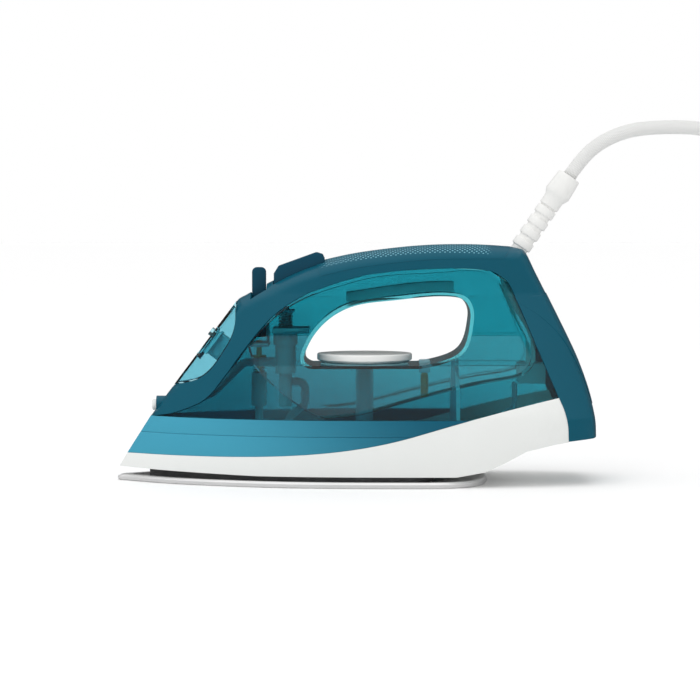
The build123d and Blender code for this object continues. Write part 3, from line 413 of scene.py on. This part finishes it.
def softened(node, width):
    """The CAD node's own shape with its sharp edges rounded by width in millimetres."""
    mesh = NODES[node].data.copy()
    mesh.name = node + "_soft"
    work = bmesh.new()
    work.from_mesh(mesh)
    bmesh.ops.remove_doubles(work, verts=work.verts, dist=WELD * MM)
    bmesh.ops.dissolve_limit(work, angle_limit=FLAT_ANGLE, verts=work.verts, edges=work.edges)
    work.to_mesh(mesh)
    work.free()
    piece = bpy.data.objects.new(node + "_soft", mesh)
    bpy.context.scene.collection.objects.link(piece)
    bevel = piece.modifiers.new("round", "BEVEL")
    bevel.width = width * MM
    bevel.segments = 3
    bevel.limit_method = "ANGLE"
    bevel.angle_limit = BEVEL_ANGLE
    return declare(finished(piece), node)


# ------------------------------------------------------------------ body shells
# Height, toe, heel, half width and widest place of the body's plan outlines.
PLANS = np.array([(5, -151, 158, 54.0, 22), (40.3, -131, 158, 51.0, 10),
                  (116, -84, 128, 23.0, -20), (152, -58, 112, 18.0, -5)])
# The cover runs between these two edges, (x, z) and (x, z), with this crown depth on the way.
COVER = [(-125.0, 40.4, -126.3, 40.4, 3), (-119.5, 41.3, -123.2, 44.6, 3),
         (-114.4, 42.2, -118.6, 50.7, 3), (-108.5, 43.9, -113.6, 57.3, 3),
         (-103.4, 45.9, -110.6, 59.8, 3), (-99, 47.7, -106.5, 60.6, 3),
         (-94.8, 49.8, -102.3, 61.5, 4), (-91, 52.6, -98.9, 62.6, 4),
         (-87.4, 56.2, -95.7, 63.9, 4), (-80, 65.7, -90.6, 67.5, 4), (-75.7, 71.5, -85.6, 73.1, 4),
         (-71.7, 77.2, -80.6, 80.6, 5), (-66, 84.6, -77, 86.7, 5), (-61.3, 90.7, -74.6, 92.9, 6),
         (-57, 95.6, -73.6, 100.2, 6), (-53.5, 99.5, -73.4, 107, 7), (-50.5, 102.4, -72.8, 111.4, 8),
         (-46.5, 105.6, -67.5, 114.6, 8), (-40.5, 109.8, -57, 120.3, 9),
         (-30.1, 115.6, -40, 128.6, 9), (-19.8, 119.3, -26, 134, 10), (-9.8, 122.7, -13, 137.5, 10),
         (6.5, 127.1, 4, 140.8, 10), (28.3, 129.8, 27, 143.7, 10), (42, 130.8, 43, 145, 10),
         (55.4, 131.2, 57, 145.5, 10), (70, 130.9, 74, 145.4, 10), (81.5, 129.5, 90, 144.5, 9),
         (87.9, 126.5, 100.4, 143.3, 8), (93.3, 121.7, 104.6, 140.2, 7),
         (98.6, 110, 110.5, 128.3, 6), (103.6, 98.1, 117.5, 114.5, 5),
         (108.6, 86, 124, 101.5, 5), (113.8, 73.7, 130.7, 87.8, 5), (118, 63.6, 136.6, 74.8, 5),
         (122.4, 53.2, 141.9, 60.2, 5), (125.6, 45.3, 145.2, 48, 5), (127.5, 36.7, 147.1, 37.8, 5),
         (127.9, 27.2, 147.5, 28.8, 5)]


def through(points, count):
    """Catmull-Rom curve: each span is the cubic that passes its two points, with the slope at a
    point half the step between the points beside it. Sampled evenly in span number."""
    p = np.asarray(points, float)
    p = np.vstack([2 * p[0] - p[1], p, 2 * p[-1] - p[-2]])
    at = np.linspace(0, len(points) - 1, count)
    i = np.minimum(at.astype(int), len(points) - 2)
    t = (at - i)[:, None]
    a, b, c, d = p[i], p[i + 1], p[i + 2], p[i + 3]
    return 0.5 * (2 * b + (c - a) * t + (2 * a - 5 * b + 4 * c - d) * t ** 2
                  + (3 * b - a - 3 * c + d) * t ** 3)


def half_width(x, z):
    """Half width of the body: level by level, a pointed toe half*(1-(1-u)^2.1)^(1/1.3) and a
    blunt heel half*(1-u^4.5)^(1/2.4), with the four numbers of a level blended by height."""
    toe, heel, half, widest = (np.interp(z, PLANS[:, 0], PLANS[:, k]) for k in range(1, 5))
    front = np.clip((x - toe) / (widest - toe), 0, 1)
    rear = np.clip((x - widest) / (heel - widest), 0, 1)
    return half * np.where(x < widest, (1 - (1 - front) ** 2.1) ** (1 / 1.3),
                           (1 - rear ** 4.5) ** (1 / 2.4))


def path_distance(x, z, path):
    """Distance in the side view from each point to the nearest run of a path."""
    best = np.full(x.shape, np.inf)
    for (ax, az), (bx, bz) in zip(path[:-1], path[1:]):
        dx, dz = bx - ax, bz - az
        t = np.clip(((x - ax) * dx + (z - az) * dz) / (dx * dx + dz * dz + 1e-12), 0, 1)
        best = np.minimum(best, np.hypot(x - ax - t * dx, z - az - t * dz))
    return best


SPAN = 24
WINDOW = (4, 16)            # the stations between which the front window takes the nose
BACK = 27                   # the station where the back of the cover begins
CROWN_POWER = 2.3
COVER_PROUD = 0.3


def crown_share(x, z, outline, depth):
    """Superellipse (1-(1-d)^p)^(1/p) of the distance d to the outline, counted in crown depths."""
    d = np.clip(path_distance(x, z, outline) / depth, 0, 1)
    return (1 - (1 - d) ** CROWN_POWER) ** (1 / CROWN_POWER)


def cover_skin(name, first, last, rows, columns, foot=0.0, proud=COVER_PROUD, lift=0.0):
    """Skin of the cover between two stations: from the lower edge, or from a distance foot under
    the outline, to the outline. Its distance from the middle plane is the body's half width times
    a superellipse crown, which falls to nothing at the outline and is full from the crown's
    depth inwards. The two sides join where they meet the middle plane."""
    stations = np.asarray(COVER, float)
    full = through(stations, 1 + SPAN * (len(stations) - 1))
    start, end = WINDOW[0] * SPAN, WINDOW[1] * SPAN
    outline = np.concatenate([full[:start + 1:3, 2:4], full[end::3, 2:4]])
    pick = np.linspace(first * SPAN, last * SPAN, rows).round().astype(int)
    low, high, depth = full[pick, :2], full[pick, 2:4], full[pick, 4:5]
    closed = (pick <= start) | (pick >= end)
    if foot:
        reach = np.linalg.norm(high - low, axis=1, keepdims=True)
        low = high + (low - high) * foot / reach
    share = 1 - (1 - np.linspace(0, 1, columns)) ** 2
    spot = low[:, None] + (high - low)[:, None] * share[None, :, None]
    x, z = spot[..., 0], spot[..., 1]
    crown = crown_share(x, z, outline, depth)
    crown[closed, -1] = 0
    y = (half_width(x, z) + proud) * crown
    z = z + lift
    left = np.stack([x, -y, z], -1)
    right = left[:, ::-1] * (1, -1, 1)
    points = np.concatenate([left, right], 1) * MM
    girth = np.cumsum(np.linalg.norm(np.diff(points, axis=1, prepend=points[:, :1]), axis=2), 1)
    girth -= girth[:, columns - 1:columns]
    run = np.cumsum(np.linalg.norm(np.diff(high, axis=0, prepend=high[:1]), axis=1)) * MM

    def corners(r, c):
        u = np.broadcast_to(np.stack([run[r], run[r], run[r + 1], run[r + 1]], -1)[:, None],
                            (len(r), len(c), 4))
        v = np.stack([girth[r][:, c], girth[r][:, c + 1], girth[r + 1][:, c + 1],
                      girth[r + 1][:, c]], -1)
        return np.stack([u, v], -1)

    piece = grid_mesh(name, points, uv=corners)
    work = bmesh.new()
    work.from_mesh(piece.data)
    apart = 0.6 * MM            # faces that span more than this both ways bridge an open middle
    gaps = [f for f in work.faces if min(v.co.y for v in f.verts) < -apart
            and max(v.co.y for v in f.verts) > apart]
    bmesh.ops.delete(work, geom=gaps, context="FACES")
    bmesh.ops.remove_doubles(work, verts=work.verts, dist=0.00001)
    bmesh.ops.reverse_faces(work, faces=work.faces)
    work.to_mesh(piece.data)
    work.free()
    return piece


def opened(piece, low, high):
    """Takes a box-shaped opening out of a skin: cuts it along the box's upright sides, then
    removes the faces inside."""
    low, high = np.array(low) * MM, np.array(high) * MM
    margin = 4 * MM             # only faces this near the opening are cut
    work = bmesh.new()
    work.from_mesh(piece.data)
    for axis in (0, 1):
        for place in (low[axis], high[axis]):
            near = [f for f in work.faces if f.calc_center_median().z > low[2]
                    and (low[0] - margin < f.calc_center_median().x < high[0] + margin)]
            geometry = near + list({e for f in near for e in f.edges}
                                   | {v for f in near for v in f.verts})
            spot, way = [0.0, 0.0, 0.0], [0.0, 0.0, 0.0]
            spot[axis], way[axis] = place, 1.0
            bmesh.ops.bisect_plane(work, geom=geometry, plane_co=spot, plane_no=way, dist=1e-7)
    inside = [f for f in work.faces
              if all(low[k] < f.calc_center_median()[k] < high[k] for k in range(3))]
    bmesh.ops.delete(work, geom=inside, context="FACES")
    work.to_mesh(piece.data)
    work.free()
    return piece


def thicken(piece, wall):
    """Gives a skin its wall, inwards, in millimetres."""
    solid = piece.modifiers.new("wall", "SOLIDIFY")
    solid.thickness = wall * MM
    solid.offset = -1.0
    solid.use_even_offset = False
    return piece


def rear_skin(name, low_z, high_z, half, corner):
    """Panel over the back of the cover: a rounded rectangle seen from behind, laid on the place
    where the cover is as wide as the panel's own y, which is found by halving."""
    stations = np.asarray(COVER, float)
    spans = 6
    outline = through(stations, 1 + spans * (len(stations) - 1))[BACK * spans:, 2:4]
    z = np.linspace(low_z, high_z, 60)
    end = np.clip(corner - np.minimum(z - low_z, high_z - z), 0, corner)
    reach = half - corner + np.sqrt(corner ** 2 - end ** 2)
    y = np.linspace(-1, 1, 44)[None, :] * reach[:, None]
    z = np.broadcast_to(z[:, None], y.shape)
    depth = stations[-1, 4]
    far = np.interp(-z, -outline[:, 1], outline[:, 0])
    near = far - 45
    for _ in range(40):
        x = (near + far) / 2
        wide = (half_width(x, z) + COVER_PROUD) * crown_share(x, z, outline, depth)
        inside = wide > np.abs(y)
        near, far = np.where(inside, x, near), np.where(inside, far, x)
    return grid_mesh(name, np.stack([near + 0.35, y, z], -1) * MM)


def node_box(name):
    """A CAD node's corners in millimetres."""
    low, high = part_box(name)
    return np.array(low) / MM, np.array(high) / MM


LEVER_GAP = 0.6
LEVER_REACH = 14.2          # half the slot's width, which the lever's tilt sweeps
LEVER_DEPTHS = (104, 140)   # heights between which the cover is taken out
BUTTON_GAP = 0.5
BUTTON_DEPTHS = (112, 150)


class IRON_OT_cover(bpy.types.Operator):
    """Handle cover with its rounded crown, its openings and the dotted grip skin"""
    bl_idname = "iron.cover"
    bl_label = "Handle cover"

    def execute(self, context):
        cover = cover_skin("cover_shell", 0, len(COVER) - 1, 460, 26)
        low, high = node_box("steam_lever")
        opened(cover, (low[0] - LEVER_GAP, -LEVER_REACH, LEVER_DEPTHS[0]),
               (high[0] + LEVER_GAP, LEVER_REACH, LEVER_DEPTHS[1]))
        low = np.minimum(node_box("spray_button")[0], node_box("boost_button")[0])
        high = np.maximum(node_box("spray_button")[1], node_box("boost_button")[1])
        opened(cover, (low[0] - BUTTON_GAP, low[1] - BUTTON_GAP, BUTTON_DEPTHS[0]),
               (high[0] + BUTTON_GAP, high[1] + BUTTON_GAP, BUTTON_DEPTHS[1]))
        declare(finished(thicken(cover, 1.8)), "handle_cover")
        grip = cover_skin("grip_skin", 20.1, 27.4, 260, 20, foot=9.0, proud=0.45, lift=0.15)
        declare(finished(thicken(grip, 1.2)), "grip_pad")
        low, high = node_box("rear_cover")
        panel = rear_skin("rear_skin", low[2] + 0.3, high[2] - 0.3, high[1] - 0.3, 8.0)
        declare(finished(thicken(panel, 1.2)), "rear_cover")
        return {"FINISHED"}


class IRON_OT_edges(bpy.types.Operator):
    """Pieces that keep their CAD shape, with their moulded edges rounded"""
    bl_idname = "iron.edges"
    bl_label = "Rounded edges"

    def execute(self, context):
        for width, names in ((0.5, ("skirt", "trim_band", "tank_base")),
                             (0.9, ("spray_button", "boost_button")), (1.9, ("steam_lever",)),
                             (0.5, ("dial", "soleplate")),
                             (0.3, ("handle_channel", "pilot_lens"))):
            for name in names:
                softened(name, width)
        return {"FINISHED"}


# ------------------------------------------------------------------ cord
CORD_ROUTE = [(131.4, 0, 187.3), (139.3, 0, 198.9), (151.6, 0, 209.1), (168.3, 0, 215.9),
              (188.2, 0, 217.7), (212, 0, 217.3), (234.6, 0, 211.2), (251.6, 0, 198.8),
              (262.8, 0, 181.0), (267.6, 1.5, 159.6), (268.5, 8, 122), (267.1, 18, 77),
              (270.4, 25, 53.2), (280.3, 31.5, 34.7), (295.2, 37.5, 21.4), (315.0, 42, 11.8),
              (338.4, 44.6, 6.4), (362, 45, 4.25)]
COIL_ENTRY = (382, 45)
CLIMB_START = 0.3           # turns before the fold at which the cord climbs to the upper layer
CLIMB_TURNS = 0.55
TAIL = [(18, 0, 1.0), (40, -0.5, 4.55), (58, 0, 5.75)]


def cord_points(settings):
    """The cord's route, its coil (a flat spiral in, then out again on top) and its tail."""
    diameter, outer = settings.diameter, settings.coil_radius
    points = [(x * MM, y * MM, z * MM) for x, y, z in CORD_ROUTE]
    centre = (COIL_ENTRY[0] * MM, COIL_ENTRY[1] * MM - outer)
    per_turn = 24
    steps = int(settings.coil_turns * per_turn)
    for i in range(steps + 1):
        turn = i / per_turn
        fold = settings.coil_turns - 2.0
        radius = outer - diameter * turn if turn < fold else (
            outer - diameter * fold + diameter * (turn - fold))
        rise = min(max((turn - fold + CLIMB_START) / CLIMB_TURNS, 0.0), 1.0)
        height = diameter / 2 + diameter * rise * rise * (3 - 2 * rise)
        angle = 2 * math.pi * turn
        points.append((centre[0] + radius * math.sin(angle),
                       centre[1] + radius * math.cos(angle), height))
    x, y, z = points[-1]
    points += [(x - dx * MM, y + dy * MM, z + dz * MM) for dx, dy, dz in TAIL]
    return points


def spline_line(name, points):
    """Points along a NURBS spline of order 3 through its own two ends."""
    curve = bpy.data.curves.new(name, "CURVE")
    curve.dimensions = "3D"
    curve.resolution_u = 8
    spline = curve.splines.new("NURBS")
    spline.points.add(len(points) - 1)
    spline.points.foreach_set("co", np.array([(*p, 1.0) for p in points], np.float32).ravel())
    spline.order_u = 3
    spline.use_endpoint_u = True
    holder = bpy.data.objects.new(name, curve)
    bpy.context.scene.collection.objects.link(holder)
    bpy.context.view_layer.update()
    mesh = bpy.data.meshes.new_from_object(holder)
    line = np.zeros(len(mesh.vertices) * 3)
    mesh.vertices.foreach_get("co", line)
    bpy.data.objects.remove(holder)
    bpy.data.meshes.remove(mesh)
    return line.reshape(-1, 3)


END_RADIUS = 0.001


def tube(name, line, radius, sides=20):
    """Round tube about a line: a circle in each point's normal plane, turned as little as can be.
    At each end one more ring narrows it to the end radius, without merging the ring to one point."""
    tangent = np.gradient(line, axis=0)
    tangent /= np.linalg.norm(tangent, axis=1, keepdims=True)
    first = np.array([0.0, 1.0, 0.0])
    side = np.zeros_like(line)
    for i, t in enumerate(tangent):
        first = first - t * (first @ t)
        first /= np.linalg.norm(first)
        side[i] = first
    up = np.cross(tangent, side)
    turn = np.arange(sides) / sides * 2 * np.pi
    line, side, up = (np.concatenate([a[:1], a, a[-1:]]) for a in (line, side, up))
    radius = np.full(len(line), radius)
    radius[[0, -1]] = END_RADIUS * MM
    radius = radius[:, None, None]
    ring = (line[:, None] + radius * (np.cos(turn)[None, :, None] * side[:, None]
                                      + np.sin(turn)[None, :, None] * up[:, None]))
    run = np.concatenate([[0], np.cumsum(np.linalg.norm(np.diff(line, axis=0), axis=1))])

    def corners(r, c):
        u = np.stack([run[r], run[r], run[r + 1], run[r + 1]], -1)[:, None, :]
        v = np.stack([c, c + 1, c + 1, c], -1)[None, :, :] / sides
        u, v = np.broadcast_arrays(u, v)
        return np.stack([u, v], -1)

    return grid_mesh(name, ring, closed=True, uv=corners)


class IRON_OT_cord(bpy.types.Operator):
    """Mains cord: from the strain relief over to its coil and plug"""
    bl_idname = "iron.cord"
    bl_label = "Cord"

    def execute(self, context):
        settings = context.scene.iron_cord
        line = spline_line("cord_line", cord_points(settings))
        piece = tube("cord_sleeve", line, settings.diameter / 2)
        plug, relief = softened("plug", 0.6), softened("strain_relief", 0.5)
        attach(piece, "iron")
        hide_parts("cord", "cord_coil")
        paint(FINISHES["cord_sleeve"].material, piece)
        return {"FINISHED"}


WIRE = 0.9
SPRING_TURNS = 6
FLAT_TURN = 0.75


def helix(name, node, wire, turns):
    """Round wire wound about the CAD spring's axis: height rises evenly with the angle, between
    two flat end turns, within the CAD spring's own box."""
    low, high = node_box(node)
    middle = (low + high) / 2
    radius = (high[0] - low[0] - wire) / 2
    t = np.linspace(0, 1, int(turns * 28))
    angle = 2 * np.pi * turns * t
    rise = np.clip((t * turns - FLAT_TURN) / (turns - 2 * FLAT_TURN), 0, 1)
    line = np.stack([middle[0] + radius * np.cos(angle), middle[1] + radius * np.sin(angle),
                     low[2] + wire / 2 + (high[2] - low[2] - wire) * rise], -1)
    return tube(name, line * MM, wire / 2 * MM, sides=10)


class IRON_OT_springs(bpy.types.Operator):
    """Return springs of the two pumps and of the steam valve"""
    bl_idname = "iron.springs"
    bl_label = "Springs"

    def execute(self, context):
        for node, joint in (("spray_spring", "spray_press"), ("boost_spring", "boost_press"),
                            ("valve_spring", "steam_valve_lift")):
            low, high = node_box(node)
            travel = TRAVEL_OF[joint] / MM
            spring = declare(helix(node + "_wire", node, WIRE, SPRING_TURNS), node)
            1 - travel / (high[2] - low[2])
            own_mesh(spring)
        return {"FINISHED"}


class IRON_OT_finishes(bpy.types.Operator):
    """Finishes of the nodes that keep their CAD shape"""
    bl_idname = "iron.finishes"
    bl_label = "Finishes"

    def execute(self, context):
        make_finishes()
        for node, slot in SLOT_OF.items():
            paint(FINISHES[slot].material, node)
        for node in ("tank_body", "front_window", "fill_door"):
            NODES[node].visible_shadow = False
        return {"FINISHED"}


# ------------------------------------------------------------------ stage
def soft_light(name, place, aim, size, power):
    """Square area light at a place, facing a point."""
    lamp = bpy.data.lights.new(name, "AREA")
    lamp.size = size
    lamp.energy = power
    holder = bpy.data.objects.new(name, lamp)
    holder.location = place
    holder.rotation_euler = (Vector(aim) - Vector(place)).to_track_quat("-Z", "Y").to_euler()
    holder.visible_glossy = False
    bpy.context.scene.collection.objects.link(holder)


class IRON_OT_stage(bpy.types.Operator):
    """Floor, light and camera"""
    bl_idname = "iron.stage"
    bl_label = "Stage"

    def execute(self, context):
        scene = context.scene
        settings = scene.iron_stage
        reach = 30.0
        corners = np.array([[(-reach, -reach, 0.0), (-reach, reach, 0.0)],
                            [(reach, -reach, 0.0), (reach, reach, 0.0)]])
        floor = grid_mesh("floor", corners[:, ::-1])
        ground = Finish("floor_paper", Roughness=0.9, Color=tuple(settings.floor_colour))
        paint(ground.material, floor)
        floor.visible_glossy = False
        world = bpy.data.worlds.new("studio")
        scene.world = world
        world.use_nodes = True
        air = Nodes(world.node_tree)
        camera_ray, _, _, glossy_ray = air.node("ShaderNodeLightPath")[:4]
        way = air.node("ShaderNodeTexCoord")[0]
        rise = air.node("ShaderNodeSeparateXYZ", None, {0: way})[2]
        sky = settings.sky_light
        gloss = rise.step(0.35, 0.9, settings.gloss_light - sky, settings.gloss_top - sky)
        background = world.node_tree.nodes["Background"]
        background.inputs[0].default_value = (1, 1, 1, 1)
        air.feed(background.inputs[1], camera_ray * (1.0 - sky) + (glossy_ray * gloss + sky))
        sun = bpy.data.lights.new("overhead", "SUN")
        sun.energy = settings.overhead
        sun.angle = math.radians(50)
        holder = bpy.data.objects.new("overhead", sun)
        holder.rotation_euler = (math.radians(12), math.radians(-8), 0)
        holder.visible_glossy = False
        scene.collection.objects.link(holder)
        soft_light("key", (-0.5, -1.0, 0.9), (0, 0, 0.07), 0.5, settings.key)
        camera = bpy.data.cameras.new("camera")
        camera.lens = settings.lens
        camera.sensor_width = 36.0
        camera.clip_end = 200
        holder = bpy.data.objects.new("camera", camera)
        holder.location = settings.eye
        holder.rotation_euler = (math.pi / 2 - settings.pitch, 0, 0)
        scene.collection.objects.link(holder)
        scene.camera = holder
        scene.view_settings.view_transform = "Standard"
        return {"FINISHED"}


class IRON_PT_panel(bpy.types.Panel):
    """Lists the iron's operators and sizes"""
    bl_label = "Iron"
    bl_idname = "IRON_PT_panel"
    bl_space_type = "VIEW_3D"
    bl_region_type = "UI"
    bl_category = "Iron"

    def draw(self, context):
        for operator in OPERATORS:
            self.layout.operator(operator.bl_idname)
        for group in (context.scene.iron_cord, context.scene.iron_stage):
            for key in group.bl_rna.properties.keys():
                if key not in ("rna_type", "name"):
                    self.layout.prop(group, key)


OPERATORS = (IRON_OT_stage, IRON_OT_finishes, IRON_OT_cord, IRON_OT_cover, IRON_OT_edges,
             IRON_OT_springs)
GROUPS = (IronCord, IronStage)


def register():
    for group in GROUPS + OPERATORS + (IRON_PT_panel,):
        bpy.utils.register_class(group)
    bpy.types.Scene.iron_cord = bpy.props.PointerProperty(type=IronCord)
    bpy.types.Scene.iron_stage = bpy.props.PointerProperty(type=IronStage)


def unregister():
    del bpy.types.Scene.iron_cord
    del bpy.types.Scene.iron_stage
    for group in reversed(GROUPS + OPERATORS + (IRON_PT_panel,)):
        bpy.utils.unregister_class(group)


def main():
    register()
    bpy.ops.iron.stage()
    bpy.ops.iron.finishes()
    bpy.ops.iron.cord()
    bpy.ops.iron.cover()
    bpy.ops.iron.edges()
    bpy.ops.iron.springs()


if __name__ == "__main__":
    main()
